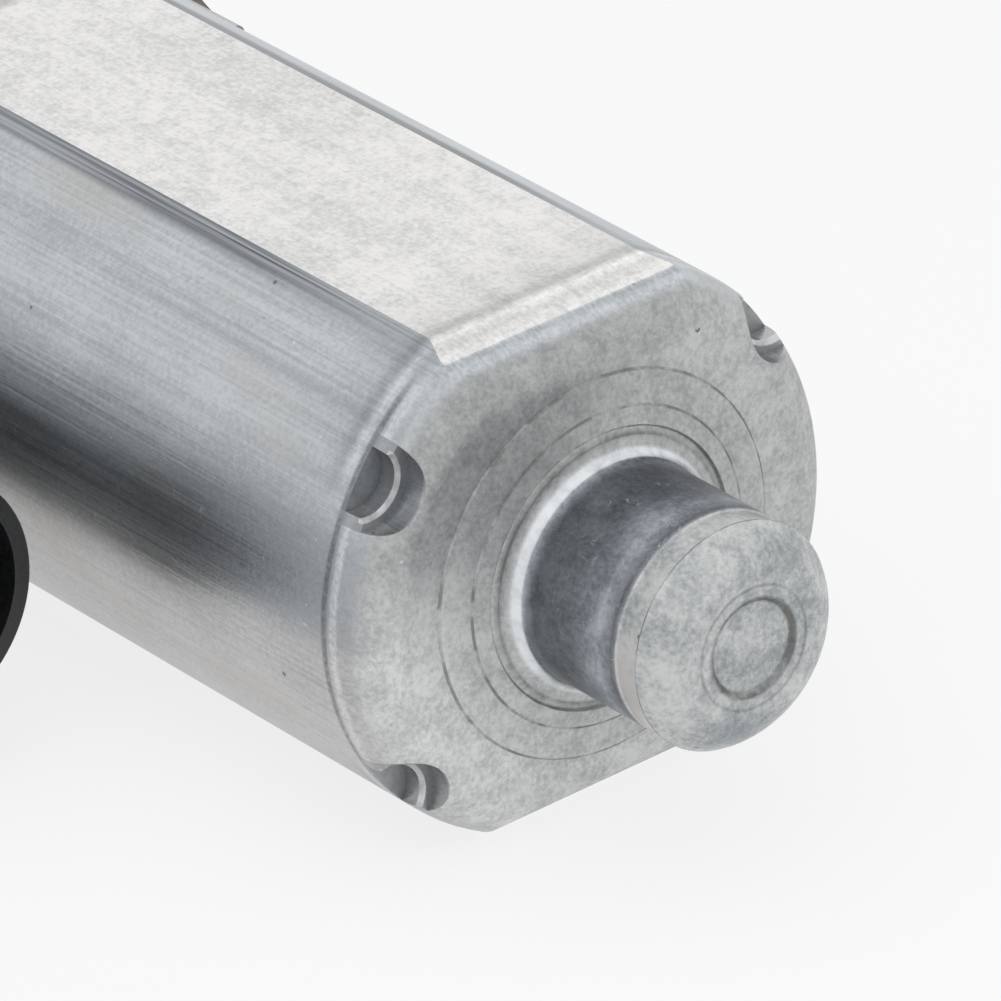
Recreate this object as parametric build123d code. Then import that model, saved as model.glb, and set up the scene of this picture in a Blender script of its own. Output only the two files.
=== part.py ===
"""Worm-geared DC motor: a drawn steel double-D can on a moulded gear housing.

Frame: +Z is the output axis, +X the way from the gear housing to the closed end of the can.
The origin is where the output axis crosses the plane of the motor shaft. Millimetres.
"""
from build123d import *
import math
import os

# ---- worm gear -------------------------------------------------------------------------------
module = 1.0
wheel_teeth = 54
worm_pitch_r = 4.5
worm_length = 15.0
wheel_face = 8.0
tooth_backlash = 0.34
worm_addendum = 0.85
wheel_addendum = 0.80
worm_dedendum = 1.15
wheel_dedendum = 1.20
worm_gap = 1.25
pressure_angle = 20.0

# ---- motor can -------------------------------------------------------------------------------
can_radius = 22.0
can_flat_depth = 2.14
can_wall = 1.8
can_end_wall = 2.2
can_length = 73.0
can_edge_r = 3.75
bevel_run = 5.87
bevel_drop = 1.25
flange_thickness = 1.8
flange_lip = 1.3
ear_radius = 4.5
ear_standoff = 4.8
ear_angle = 145.0
nub_length = 17.1
nub_neck_r = 8.75
nub_waist_r = 8.62
nub_waist_length = 2.1
nub_waist_step = 0.15
nub_head_r = 8.85
nub_head_length = 2.5
nub_end_r = 6.2
nub_shoulder_rise = 0.3
nub_root_fillet = 1.6
nub_root_r = 10.87
nub_root_groove = 0.2
nub_bore_r = 6.0
nub_end_wall = 2.5
nub_dimple_r = 3.8
nub_dimple_depth = 0.3
boss_rise = 0.9
outer_ring_r = 15.1
outer_ring_rise = 0.15
inner_ring_r = 12.5
inner_ring_rise = 0.62
ring_step = 0.1
ring_slope = 0.15
bead_angle = 47.0
bead_length = 12.4
bead_r = 0.8
bead_rise = 0.2
pocket_r = 3.53
pocket_standoff = 0.56
pocket_angle = 34.97
pocket_depth = 2.3
pocket_seat_r = 2.6
pocket_seat_depth = 1.9
pocket_seat_edge = 0.3
pocket_floor_wall = 1.7
pocket_side_wall = 1.1

# ---- magnets and armature ----------------------------------------------------------------------
magnet_gap = 0.05
magnet_thickness = 4.4
magnet_length = 50.0
magnet_half_angle = 54.0
air_gap = 0.55
clip_length = 44.0
clip_width = 2.0
clip_inset = 0.8
clip_wire = 1.0
stack_length = 42.0
slot_count = 8
slot_width = 2.2
slot_depth = 7.6
slot_flare = 2.2
bar_slot_width = 0.6
bar_slot_depth = 1.6
shoe_thickness = 1.6
overhang_length = 6.0
shaft_r = 3.0
tail_r = 2.5
commutator_r = 8.0
commutator_length = 9.0
commutator_bars = 8
riser_height = 1.0
riser_length = 1.2
running_gap = 0.04
end_gap = 0.05
sleeve_thickness = 1.5
slinger_r = 5.2
slinger_thickness = 1.4
overhang_edge = 2.4

# ---- bearings ----------------------------------------------------------------------------------
mid_bearing_length = 7.0
tail_bearing_length = 6.0
bearing_shoulder = 0.5
rear_bearing_length = 7.2
retainer_thickness = 0.8
thrust_disc_thickness = 0.8
thrust_ball_r = 1.55
thrust_screw_r = 3.9

# ---- brushes -----------------------------------------------------------------------------------
brush_width = 6.0
brush_depth = 5.0
brush_length = 5.0
brush_gap = 0.08
holder_wall = 0.8
holder_clearance = 0.06
holder_can_gap = 0.33
brush_spring_wire = 0.35
brush_spring_r = 1.7
brush_spring_turns = 3
card_thickness = 2.0

# ---- gear housing ------------------------------------------------------------------------------
flange_standoff = 6.5
gasket_thickness = 0.5
case_wall = 2.9
case_gap = 0.8
case_floor = 2.5
case_tunnel_step = 0.5
case_bottom_z = -11.5
tunnel_wall = 1.9
tunnel_overrun = 18.5
tail_overrun = 3.0
recess_depth = 6.0
flange_block = 8.5
pin_boss_r = 9.0
pin_boss_z = -14.5
pin_floor = 1.5
mount_plane_z = 13.0
mount_standoff = 16.5
mount_connector_gap = 1.0
mount_boss_r = 7.0
mount_bore_r = 3.3
sleeve_wall = 1.3
rib_thickness = 5.0
mount_web_width = 7.0

# ---- wheel side --------------------------------------------------------------------------------
axle_r = 4.0
axle_top_z = 24.0
rim_inner_r = 23.0
wheel_web = 2.0
wheel_hub_r = 7.0
washer_thickness = 0.8
driver_collar_r = 12.0
driver_top_z = 14.0
driver_disc = 2.0
dog_r = 2.5
dog_circle_r = 9.2
dog_height = 5.0
dog_count = 3
fin_count = 3
fin_thickness = 2.6
fin_gap = 0.1
cover_thickness = 1.2
cover_gasket = 0.4
cover_edge_gap = 0.3
dish_rise = 1.2
dish_width = 5.0
seal_width = 3.8
ring_groove = 0.9
cover_screw_standoff = 3.1
screw_tab_r = 3.6
cover_screw_angles = (41.5, 138.5, 180.0, 240.0, 300.0)
screw_r = 1.5
screw_length = 9.0
can_screw_r = 1.95
can_screw_length = 9.3
seat_gap = 0.05

# ---- connector ---------------------------------------------------------------------------------
socket_can_gap = 3.9
socket_z = -3.0
socket_r = 10.1
socket_wall = 1.3
socket_reach = 38.0
socket_floor = 19.0
socket_plate = 3.0
socket_plate_half = 11.5
socket_screw_offset = 8.9
socket_screw_r = 1.2
duct_half = 4.6
duct_z = (-6.6, 0.6)
duct_x = (5.2, 2.0)
pad_setback = 2.5
blade_width = 1.6
blade_thickness = 0.8
blade_pitch = 3.6
blade_reach = 31.0
blade_back = 4.6
blade_arm = 1.6

# ---- sizes that follow -------------------------------------------------------------------------
lead = math.pi * module
wheel_pitch_r = module * wheel_teeth / 2
motor_y = wheel_pitch_r + worm_pitch_r
wheel_tip_r = wheel_pitch_r + wheel_addendum
wheel_root_r = wheel_pitch_r - wheel_dedendum
worm_tip_r = worm_pitch_r + worm_addendum
worm_root_r = worm_pitch_r - worm_dedendum
case_inner_r = wheel_tip_r + case_gap
case_outer_r = case_inner_r + case_wall
tunnel_bore_r = worm_tip_r + worm_gap
tunnel_r = tunnel_bore_r + tunnel_wall
case_top_z = tunnel_r + case_tunnel_step
worm_root_end_x = worm_length / 2 + 4.5
tail_x = -worm_length / 2 - tail_overrun
tail_bearing_x = tail_x - bearing_shoulder - tail_bearing_length
tail_bearing_r = tail_r + 2.4
shaft_tail_x = tail_bearing_x - 0.4
thrust_ball_x = shaft_tail_x - end_gap - thrust_ball_r
tunnel_start_x = -worm_length / 2 - tunnel_overrun
flange_x = case_outer_r + flange_standoff
pad_x = flange_x - pad_setback
mid_bearing_x = flange_x - 20.0
slinger_x = flange_x - 11.0
cover_screw_r = case_outer_r + cover_screw_standoff
can_end_x = flange_x + can_length
can_half_flat = can_radius - can_flat_depth
can_inner_r = can_radius - can_wall
can_inner_flat = can_half_flat - can_wall
magnet_outer_r = can_inner_r - magnet_gap
magnet_inner_r = magnet_outer_r - magnet_thickness
stack_r = magnet_inner_r - air_gap
magnet_mid_x = flange_x + can_length / 2 + 1.0
stack_start_x = magnet_mid_x - stack_length / 2
stack_end_x = magnet_mid_x + stack_length / 2
card_x = flange_x - card_thickness
suppressor_end_x = card_x - 0.1
commutator_x = flange_x - 1.0
brush_mid_x = flange_x + 3.5
brush_start_z = commutator_r + brush_gap
brush_end_z = brush_start_z + brush_length
spring_end_z = can_inner_flat - holder_can_gap - holder_wall - seat_gap
brush_spring_length = spring_end_z - brush_end_z
rear_bore_end_x = can_end_x + nub_length - nub_end_wall
ear_reach = can_radius + ear_standoff
ear_y = ear_reach * math.cos(math.radians(ear_angle))
ear_z = ear_reach * math.sin(math.radians(ear_angle))
pocket_y = (can_radius + pocket_standoff) * math.cos(math.radians(pocket_angle))
pocket_z = (can_radius + pocket_standoff) * math.sin(math.radians(pocket_angle))
bearing_mid_x = can_end_x + 6.0
socket_y = motor_y - can_radius - socket_can_gap - socket_r
socket_mouth_x = flange_x + socket_reach
socket_floor_x = flange_x + socket_floor
blade_tip_x = flange_x + blade_reach
mount_circle_r = case_outer_r + mount_standoff
first_mount_y = socket_y - socket_plate_half - mount_connector_gap - mount_boss_r
first_mount_angle = math.degrees(math.asin(first_mount_y / mount_circle_r))
mount_angles = [first_mount_angle + 120 * index for index in range(3)]
web_z = -wheel_face / 2
floor_z = case_bottom_z + case_floor
hub_bottom_z = floor_z + washer_thickness + fin_gap
disc_z = wheel_face / 2 + 0.3

os.makedirs("parts", exist_ok=True)


def save(shape, name):
    """Write one node, labelled with its own name."""
    shape.label = name
    export_step(shape, "parts/" + name + ".step")
    print(name, len(shape.solids()), round(shape.volume, 2))


def rod(x0, x1, radius, y=motor_y, z=0.0):
    """A cylinder along X."""
    plane = Plane(origin=(x0, y, z), x_dir=(0, 1, 0), z_dir=(1, 0, 0))
    return plane * Pos(0, 0, (x1 - x0) / 2) * Cylinder(radius, x1 - x0)


def post(x, y, z0, z1, radius):
    """A cylinder along Z."""
    return Pos(x, y, (z0 + z1) / 2) * Cylinder(radius, z1 - z0)


def block(x0, x1, y0, y1, z0, z1):
    """A box between two corners."""
    size = (x1 - x0, y1 - y0, z1 - z0)
    return Pos((x0 + x1) / 2, (y0 + y1) / 2, (z0 + z1) / 2) * Box(*size)


def turned(points, arcs=()):
    """Revolve an outline of (x, radius) points about the motor axis; arcs marks rounded runs."""
    edges = []
    for index, start in enumerate(points):
        end = points[(index + 1) % len(points)]
        middle = dict(arcs).get(index)
        if middle:
            edges.append(ThreePointArc(start, middle, end))
        else:
            edges.append(Line(start, end))
    face = make_face(edges)
    return Pos(0, motor_y, 0) * revolve(face, Axis.X, 360)


def around(radius, angle):
    """A point on a circle about the output axis."""
    turn = math.radians(angle)
    return radius * math.cos(turn), radius * math.sin(turn)


def sided(z0, z1, side):
    """A height range on the upper (1) or lower (-1) side."""
    return (z0, z1) if side > 0 else (-z1, -z0)


def joined(shapes):
    """Fuse a list of shapes into one."""
    first = shapes[0]
    return first.fuse(*shapes[1:]) if len(shapes) > 1 else first


def group(shapes):
    """Keep separate solids together in one node."""
    return Compound(children=list(shapes))


# ---- the can -----------------------------------------------------------------------------------
def can_cup():
    """Drawn cup before hollowing: turned, then trimmed to two flats that end in a shallow bevel."""
    diagonal = can_edge_r * math.sqrt(0.5)
    edge_x = can_end_x - can_edge_r
    edge_y = can_radius - can_edge_r
    cup = turned([(flange_x, 0), (flange_x, can_radius), (edge_x, can_radius), (can_end_x, edge_y),
                  (can_end_x, 0)], ((2, (edge_x + diagonal, edge_y + diagonal)),))
    start_x = flange_x - 1
    bevel_x = can_end_x - bevel_run
    bevel_z = can_half_flat - bevel_drop
    outline = make_face(Polyline(
        (start_x, -can_half_flat), (start_x, can_half_flat), (bevel_x, can_half_flat),
        (can_end_x, bevel_z), (can_end_x, -bevel_z), (bevel_x, -can_half_flat), close=True))
    outline = fillet([corner for corner in outline.vertices() if abs(corner.X - can_end_x) < 0.01],
                     can_edge_r)
    side = can_radius + 5
    plane = Plane(origin=(0, motor_y + side, 0), x_dir=(1, 0, 0), z_dir=(0, -1, 0))
    return cup & extrude(plane * outline, amount=2 * side)


def can_nub():
    """Stepped centre of the end face and the bearing nub, with a soft root and a rounded head."""
    top_x = can_end_x + boss_rise
    end_x = can_end_x + nub_length
    head_x = end_x - nub_head_length
    waist_x = head_x - nub_waist_step - nub_waist_length
    shoulder = math.atan2(nub_head_r - nub_end_r, nub_head_length)
    shoulder_x = (head_x + end_x) / 2 + nub_shoulder_rise * math.sin(shoulder)
    shoulder_r = (nub_head_r + nub_end_r) / 2 + nub_shoulder_rise * math.cos(shoulder)
    fillet_r = nub_neck_r + nub_root_fillet
    fillet_diagonal = nub_root_fillet * (1 - math.sqrt(0.5))
    points = [
        (can_end_x - 1, 0), (can_end_x - 1, outer_ring_r), (can_end_x, outer_ring_r),
        (can_end_x + outer_ring_rise, outer_ring_r - ring_slope),
        (can_end_x + inner_ring_rise - ring_step, inner_ring_r),
        (can_end_x + inner_ring_rise, inner_ring_r - ring_slope),
        (top_x, nub_root_r + ring_slope), (top_x - nub_root_groove, nub_root_r), (top_x, fillet_r),
        (top_x + nub_root_fillet, nub_neck_r), (waist_x - nub_waist_step, nub_neck_r),
        (waist_x, nub_waist_r), (head_x - nub_waist_step, nub_waist_r), (head_x, nub_head_r),
        (end_x, nub_end_r), (end_x, nub_dimple_r),
        (end_x - nub_dimple_depth, nub_dimple_r - nub_dimple_depth), (end_x - nub_dimple_depth, 0),
    ]
    return turned(points, (
        (8, (top_x + fillet_diagonal, nub_neck_r + fillet_diagonal)),
        (13, (shoulder_x, shoulder_r)),
    ))


def can_cavity():
    """The space inside the can and its bearing nub."""
    x_in = can_end_x - can_end_wall
    edge = can_edge_r - can_wall
    diagonal = edge * math.sqrt(0.5)
    points = [
        (flange_x - 1, 0), (flange_x - 1, can_inner_r), (x_in - edge, can_inner_r),
        (x_in, can_inner_r - edge), (x_in, nub_bore_r), (rear_bore_end_x, nub_bore_r),
        (rear_bore_end_x, 0),
    ]
    body = turned(points, ((2, (x_in - edge + diagonal, can_inner_r - edge + diagonal)),))
    trim = block(flange_x - 2, rear_bore_end_x + 1, motor_y - 30, motor_y + 30,
                 -can_inner_flat, can_inner_flat)
    bevel_in = can_end_x - bevel_run - 1.0
    cavity = body & trim
    for side in (-1, 1):
        slope = math.degrees(math.atan2(bevel_drop, bevel_run))
        wedge = Pos(bevel_in, motor_y, side * can_inner_flat) * Rot(0, side * slope, 0)
        cavity -= wedge * Pos(10, 0, side * 2) * Box(20, 60, 4)
    for side_y in (-1, 1):
        for side_z in (-1, 1):
            start = can_end_x - pocket_depth - pocket_seat_depth - pocket_floor_wall
            cavity -= rod(start, can_end_x, pocket_r + pocket_side_wall,
                          motor_y + side_y * pocket_y, side_z * pocket_z)
    return cavity


def ear_pair(x0, x1, radius):
    """The two screw ears, joined to the middle of the flange by straight arms."""
    arms = []
    for side in (-1, 1):
        arms.append(rod(x0, x1, radius, motor_y + side * ear_y, side * ear_z))
        arm = block(x0, x1, -ear_reach / 2, ear_reach / 2, -radius, radius)
        arms.append(Pos(0, motor_y, 0) * Rot(ear_angle, 0, 0) * Pos(0, side * ear_reach / 2, 0) * arm)
    return joined(arms)


def double_d(x0, x1, radius, half_flat):
    """A disc along X with two flats."""
    return rod(x0, x1, radius) & block(x0 - 1, x1 + 1, motor_y - 40, motor_y + 40, -half_flat, half_flat)


def motor_can():
    """Can with its flange, ears, bearing nub and four stepped corner pockets."""
    body = can_cup()
    flange = double_d(flange_x, flange_x + flange_thickness, can_radius + flange_lip, can_half_flat)
    ears = ear_pair(flange_x, flange_x + flange_thickness, ear_radius)
    ears &= block(flange_x - 1, flange_x + 9, motor_y - 40, motor_y + 40, -can_half_flat, can_half_flat)
    bead_y = (can_radius + bead_rise - bead_r) * math.cos(math.radians(bead_angle))
    bead_z = (can_radius + bead_rise - bead_r) * math.sin(math.radians(bead_angle))
    bead = rod(flange_x, flange_x + bead_length, bead_r, motor_y + bead_y, bead_z)
    body = joined([body, can_nub(), flange, ears, bead])
    body -= can_cavity()
    for side in (-1, 1):
        body -= rod(flange_x - 1, flange_x + 5, 2.2, motor_y + side * ear_y, side * ear_z)
    for side_y in (-1, 1):
        for side_z in (-1, 1):
            y, z = motor_y + side_y * pocket_y, side_z * pocket_z
            step_x = can_end_x - pocket_depth
            edge_place = Pos(step_x - pocket_seat_edge / 2, y, z) * Rot(0, 90, 0)
            body -= rod(step_x, can_end_x + 1, pocket_r, y, z)
            body -= rod(step_x - pocket_seat_depth, step_x + 0.1, pocket_seat_r, y, z)
            body -= edge_place * Cone(pocket_seat_r, pocket_seat_r + pocket_seat_edge, pocket_seat_edge)
    return body


save(motor_can(), "motor_can")


# ---- field magnets -------------------------------------------------------------------------------
def magnet(side):
    """One curved ferrite magnet against the round side of the can."""
    start = magnet_mid_x - magnet_length / 2
    ring = rod(start, start + magnet_length, magnet_outer_r)
    ring -= rod(start - 1, start + magnet_length + 1, magnet_inner_r)
    turn = math.radians(magnet_half_angle)
    far_y, far_z = 3 * can_radius * math.cos(turn), 3 * can_radius * math.sin(turn)
    keep = Plane.YZ * make_face(Polyline((0, 0), (far_y, far_z), (far_y, -far_z), close=True))
    wedge = Pos(start - 1, 0, 0) * extrude(keep, amount=magnet_length + 2)
    if side < 0:
        wedge = Rot(0, 0, 180) * Pos(-2 * start - magnet_length, 0, 0) * wedge
    return ring & (Pos(0, motor_y, 0) * wedge)


def magnet_springs():
    """Two hairpin spring clips that spread the magnets apart, one under each flat."""
    clips = []
    start = magnet_mid_x - clip_length / 2
    top = magnet_outer_r * math.sin(math.radians(magnet_half_angle)) - clip_inset
    bottom = top - clip_width
    reach = bottom / math.tan(math.radians(magnet_half_angle)) - seat_gap
    for side in (-1, 1):
        low, high = sided(bottom, top, side)
        arms = [block(start, start + clip_length, motor_y + end * (reach - clip_wire / 2) - clip_wire / 2,
                      motor_y + end * (reach - clip_wire / 2) + clip_wire / 2, low, high)
                for end in (-1, 1)]
        low, high = sided(top - clip_wire, top, side)
        bend = block(start + clip_length, start + clip_length + clip_wire, motor_y - reach,
                     motor_y + reach, low, high)
        clips.append(joined(arms + [bend]))
    return group(clips)


save(magnet(1), "magnet_far")
save(magnet(-1), "magnet_near")
save(magnet_springs(), "magnet_springs")


# ---- armature ------------------------------------------------------------------------------------
def slot_bar(x0, x1, angle, width, r0, r1):
    """A straight radial bar along the armature."""
    bar = block(x0, x1, -width / 2, width / 2, r0, r1)
    return Pos(0, motor_y, 0) * Rot(angle, 0, 0) * bar


def armature_shaft():
    """Shaft with the rolled single-start right-hand worm."""
    slope = math.tan(math.radians(pressure_angle))
    half_pitch_width = lead / 4 - tooth_backlash / 4
    sunk = 0.15
    tip_half = half_pitch_width - worm_addendum * slope
    base_half = half_pitch_width + (worm_dedendum + sunk) * slope
    core = joined([
        rod(shaft_tail_x, tail_x, tail_r),
        rod(tail_x, worm_root_end_x, worm_root_r),
        rod(worm_root_end_x, rear_bore_end_x - thrust_disc_thickness - 2 * end_gap, shaft_r),
    ])
    turns = math.floor(worm_length / lead)
    path = Helix(pitch=lead, height=turns * lead, radius=worm_pitch_r)
    profile = make_face(Polyline(
        (worm_root_r - sunk, -base_half), (worm_tip_r, -tip_half), (worm_tip_r, tip_half),
        (worm_root_r - sunk, base_half),
        close=True))
    section = Plane(origin=(0, 0, 0), x_dir=(1, 0, 0), z_dir=(0, -1, 0)) * profile
    thread = sweep(section, path=path, is_frenet=True)
    seat = Plane(origin=(-turns * lead / 2, motor_y, 0), x_dir=(0, -1, 0), z_dir=(1, 0, 0))
    return core.fuse(seat * thread)


def lamination_stack():
    """Slotted armature iron."""
    stack = rod(stack_start_x, stack_end_x, stack_r) - rod(stack_start_x - 1, stack_end_x + 1, shaft_r)
    pitch = 360.0 / slot_count
    for index in range(slot_count):
        angle = index * pitch
        stack -= slot_bar(stack_start_x - 1, stack_end_x + 1, angle, slot_width * slot_flare,
                          stack_r - slot_depth, stack_r - shoe_thickness)
        stack -= slot_bar(stack_start_x - 1, stack_end_x + 1, angle, slot_width,
                          stack_r - shoe_thickness - 0.5, stack_r + 1)
    return stack


def windings():
    """Copper coils: a bundle in each slot and a rounded overhang at each end of the iron."""
    bars = []
    pitch = 360.0 / slot_count
    inner = stack_r - slot_depth + 0.1
    outer = stack_r - shoe_thickness - 0.1
    for index in range(slot_count):
        bars.append(slot_bar(stack_start_x - 0.5, stack_end_x + 0.5, index * pitch,
                             slot_width * slot_flare - 0.2, inner, outer))
    for start, end in ((stack_start_x - overhang_length, stack_start_x - 0.05),
                       (stack_end_x + 0.05, stack_end_x + overhang_length)):
        ring = rod(start, end, outer - 0.2) - rod(start - 1, end + 1, shaft_r + 1.6)
        outside = start if start < stack_start_x else end
        edges = [edge for edge in ring.edges().filter_by(GeomType.CIRCLE)
                 if abs(edge.center().X - outside) < 0.01 and edge.radius > shaft_r + 2]
        bars.append(fillet(edges, overhang_edge))
    return joined(bars)


def commutator():
    """Moulded commutator: copper bars with slots between them on an insulating sleeve."""
    end = commutator_x + commutator_length
    body = rod(commutator_x, end, commutator_r) - rod(commutator_x - 1, end + 3, shaft_r + sleeve_thickness)
    riser = rod(end - 0.2, end + riser_length, commutator_r + riser_height)
    body = body + (riser - rod(end - 1, end + 3, shaft_r + sleeve_thickness))
    for index in range(commutator_bars):
        body -= slot_bar(commutator_x - 1, end + 3, (index + 0.5) * 360.0 / commutator_bars,
                         bar_slot_width, commutator_r - bar_slot_depth, commutator_r + 3)
    return body


def commutator_sleeve():
    """Insulating sleeve between the commutator and the shaft."""
    end = commutator_x + commutator_length + riser_length
    sleeve = rod(commutator_x - 1.2, end + 1.0, shaft_r + sleeve_thickness)
    return sleeve - rod(commutator_x - 3, end + 3, shaft_r)


def oil_slinger():
    """Plastic washer on the shaft that keeps gear grease off the commutator."""
    washer = rod(slinger_x, slinger_x + slinger_thickness, slinger_r)
    return washer - rod(slinger_x - 1, slinger_x + slinger_thickness + 1, shaft_r)


save(armature_shaft(), "armature_shaft")
save(lamination_stack(), "lamination_stack")
save(windings(), "armature_windings")
save(commutator(), "commutator")
save(commutator_sleeve(), "commutator_sleeve")
save(oil_slinger(), "oil_slinger")


# ---- bearings ------------------------------------------------------------------------------------
def rear_bearing():
    """Self-aligning sintered bearing: a sphere cut flat at both ends and bored."""
    half, radius, bore = rear_bearing_length / 2, nub_bore_r - 0.02, shaft_r + running_gap
    shoulder = math.sqrt(radius ** 2 - half ** 2)
    points = [(bearing_mid_x - half, bore), (bearing_mid_x - half, shoulder),
              (bearing_mid_x + half, shoulder), (bearing_mid_x + half, bore)]
    return turned(points, ((1, (bearing_mid_x, radius)),))


def bearing_retainer():
    """Spring washer, pressed into the nub, that holds the rear bearing."""
    end = bearing_mid_x - rear_bearing_length / 2 - 0.4
    ring = rod(end - retainer_thickness, end, nub_bore_r)
    return ring - rod(end - 5, end + 1, shaft_r + 1.2)


def rear_thrust_disc():
    """Plastic disc that takes the end of the shaft."""
    return rod(rear_bore_end_x - thrust_disc_thickness, rear_bore_end_x, nub_bore_r - 0.3)


def mid_bearing():
    """Sintered bush between the worm and the commutator."""
    end = mid_bearing_x + mid_bearing_length
    return rod(mid_bearing_x, end, tunnel_bore_r) - rod(mid_bearing_x - 1, end + 1, shaft_r + running_gap)


def tail_bearing():
    """Sintered bush beyond the worm."""
    end = tail_bearing_x + tail_bearing_length
    return rod(tail_bearing_x, end, tail_bearing_r) - rod(tail_bearing_x - 1, end + 1, tail_r + running_gap)


def thrust_ball():
    """Hardened ball between the shaft and the adjusting screw."""
    return Pos(thrust_ball_x, motor_y, 0) * Sphere(thrust_ball_r)


def thrust_screw():
    """Slotted adjusting screw for the end play."""
    screw = rod(tunnel_start_x + 0.6, thrust_ball_x - thrust_ball_r - 0.02, thrust_screw_r)
    slot = block(tunnel_start_x, tunnel_start_x + 1.9, motor_y - 5, motor_y + 5, -0.5, 0.5)
    return screw - slot


save(rear_bearing(), "rear_bearing")
save(bearing_retainer(), "bearing_retainer")
save(rear_thrust_disc(), "rear_thrust_disc")
save(mid_bearing(), "mid_bearing")
save(tail_bearing(), "tail_bearing")
save(thrust_ball(), "thrust_ball")
save(thrust_screw(), "thrust_screw")


# ---- brush gear ----------------------------------------------------------------------------------
def brush_box(side, grow, z0, z1):
    """A box around the brush path, grown evenly."""
    low, high = sided(z0, z1, side)
    return block(brush_mid_x - brush_depth / 2 - grow, brush_mid_x + brush_depth / 2 + grow,
                 motor_y - brush_width / 2 - grow, motor_y + brush_width / 2 + grow, low, high)


def brush(side):
    """Carbon brush with a hollow face that fits the commutator."""
    body = brush_box(side, 0.0, brush_start_z - 2.0, brush_end_z)
    return body - rod(brush_mid_x - 9, brush_mid_x + 9, brush_start_z)


def brush_holder(side):
    """Folded brass box that guides one brush and backs its spring."""
    outside = holder_clearance + holder_wall
    top = spring_end_z + seat_gap
    box = brush_box(side, outside, brush_start_z + 1.0, top + holder_wall)
    return box - brush_box(side, holder_clearance, brush_start_z - 1.0, top)


def brush_spring(side):
    """Coil spring behind one brush."""
    height = brush_spring_length - brush_spring_wire - 2 * seat_gap
    path = Helix(pitch=height / brush_spring_turns, height=height, radius=brush_spring_r)
    wire = Plane(origin=path @ 0, z_dir=path % 0) * Circle(brush_spring_wire / 2)
    coil = sweep(wire, path=path, is_frenet=True)
    start = brush_end_z + seat_gap + brush_spring_wire / 2
    coil = Pos(brush_mid_x, motor_y, start) * coil
    return coil if side > 0 else Pos(0, 2 * motor_y, 0) * Rot(180, 0, 0) * coil


def brush_card():
    """Plastic plate in the open end of the can that carries the brush gear."""
    plate = double_d(card_x, card_x + card_thickness, can_inner_r - 0.3, can_inner_flat - 0.3)
    plate -= rod(card_x - 1, card_x + 5, commutator_r + 2.0)
    for side in (-1, 1):
        low, high = sided(commutator_r, brush_start_z + 1.0, side)
        plate -= block(card_x - 1, card_x + 9, motor_y - 4, motor_y + 4, low, high)
        plate -= rod(card_x - 1, card_x + 9, 1.0, motor_y + side * 14.0, 0.0)
    return plate


def choke_cores():
    """Two ferrite rods."""
    return group([rod(suppressor_end_x - 3.9, suppressor_end_x, 1.2, motor_y + side * 12.5, 9.5)
                  for side in (-1, 1)])


def choke_windings():
    """Two copper coils on the ferrite rods."""
    coils = []
    for side in (-1, 1):
        y = motor_y + side * 12.5
        coil = rod(suppressor_end_x - 3.5, suppressor_end_x - 0.4, 2.1, y, 9.5)
        coils.append(coil - rod(suppressor_end_x - 5, suppressor_end_x + 1, 1.22, y, 9.5))
    return group(coils)


def capacitor():
    """Suppression capacitor lying flat on the back of the card."""
    body = block(suppressor_end_x - 3.5, suppressor_end_x, motor_y + 8.0, motor_y + 15.0, -10.0, -5.0)
    return fillet(body.edges().filter_by(Axis.X), 1.2)


def thermal_breaker():
    """Bimetal overload switch in its flat case."""
    top = 4.06 - can_inner_flat
    case = block(suppressor_end_x - 3.3, suppressor_end_x, motor_y - 14.5, motor_y - 8.5, top, top + 5.0)
    return chamfer(case.edges(), 0.4)


save(brush_card(), "brush_card")
for position, side in (("upper", 1), ("lower", -1)):
    save(brush(side), "brush_" + position)
    save(brush_holder(side), "brush_holder_" + position)
    save(brush_spring(side), "brush_spring_" + position)
save(choke_cores(), "choke_cores")
save(choke_windings(), "choke_windings")
save(capacitor(), "capacitor")
save(thermal_breaker(), "thermal_breaker")


# ---- gear housing --------------------------------------------------------------------------------
def case_outline(z0, z1, extra=0.0):
    """The round wheel case with its screw bosses, between two heights."""
    shapes = [post(0, 0, z0, z1, case_outer_r + extra)]
    for angle in cover_screw_angles:
        x, y = around(cover_screw_r, angle)
        shapes.append(post(x, y, z0, z1, screw_tab_r + extra))
        arm = block(case_inner_r + 1, cover_screw_r, -screw_tab_r + 0.9, screw_tab_r - 0.9, z0, z1)
        shapes.append(Rot(0, 0, angle) * arm)
    return joined(shapes)


def mounting_boss(angle):
    """One mounting boss with the ribs that tie it to the wheel case."""
    x, y = around(mount_circle_r, angle)
    boss = post(x, y, -can_half_flat, mount_plane_z, mount_boss_r)
    rib = block(case_inner_r + 1, mount_circle_r, -rib_thickness / 2, rib_thickness / 2,
                case_bottom_z, case_top_z - 2.0)
    web = block(case_inner_r + 1, mount_circle_r, -mount_web_width / 2, mount_web_width / 2,
                case_bottom_z, case_bottom_z + 3.0)
    return boss + Rot(0, 0, angle) * (rib + web)


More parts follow.
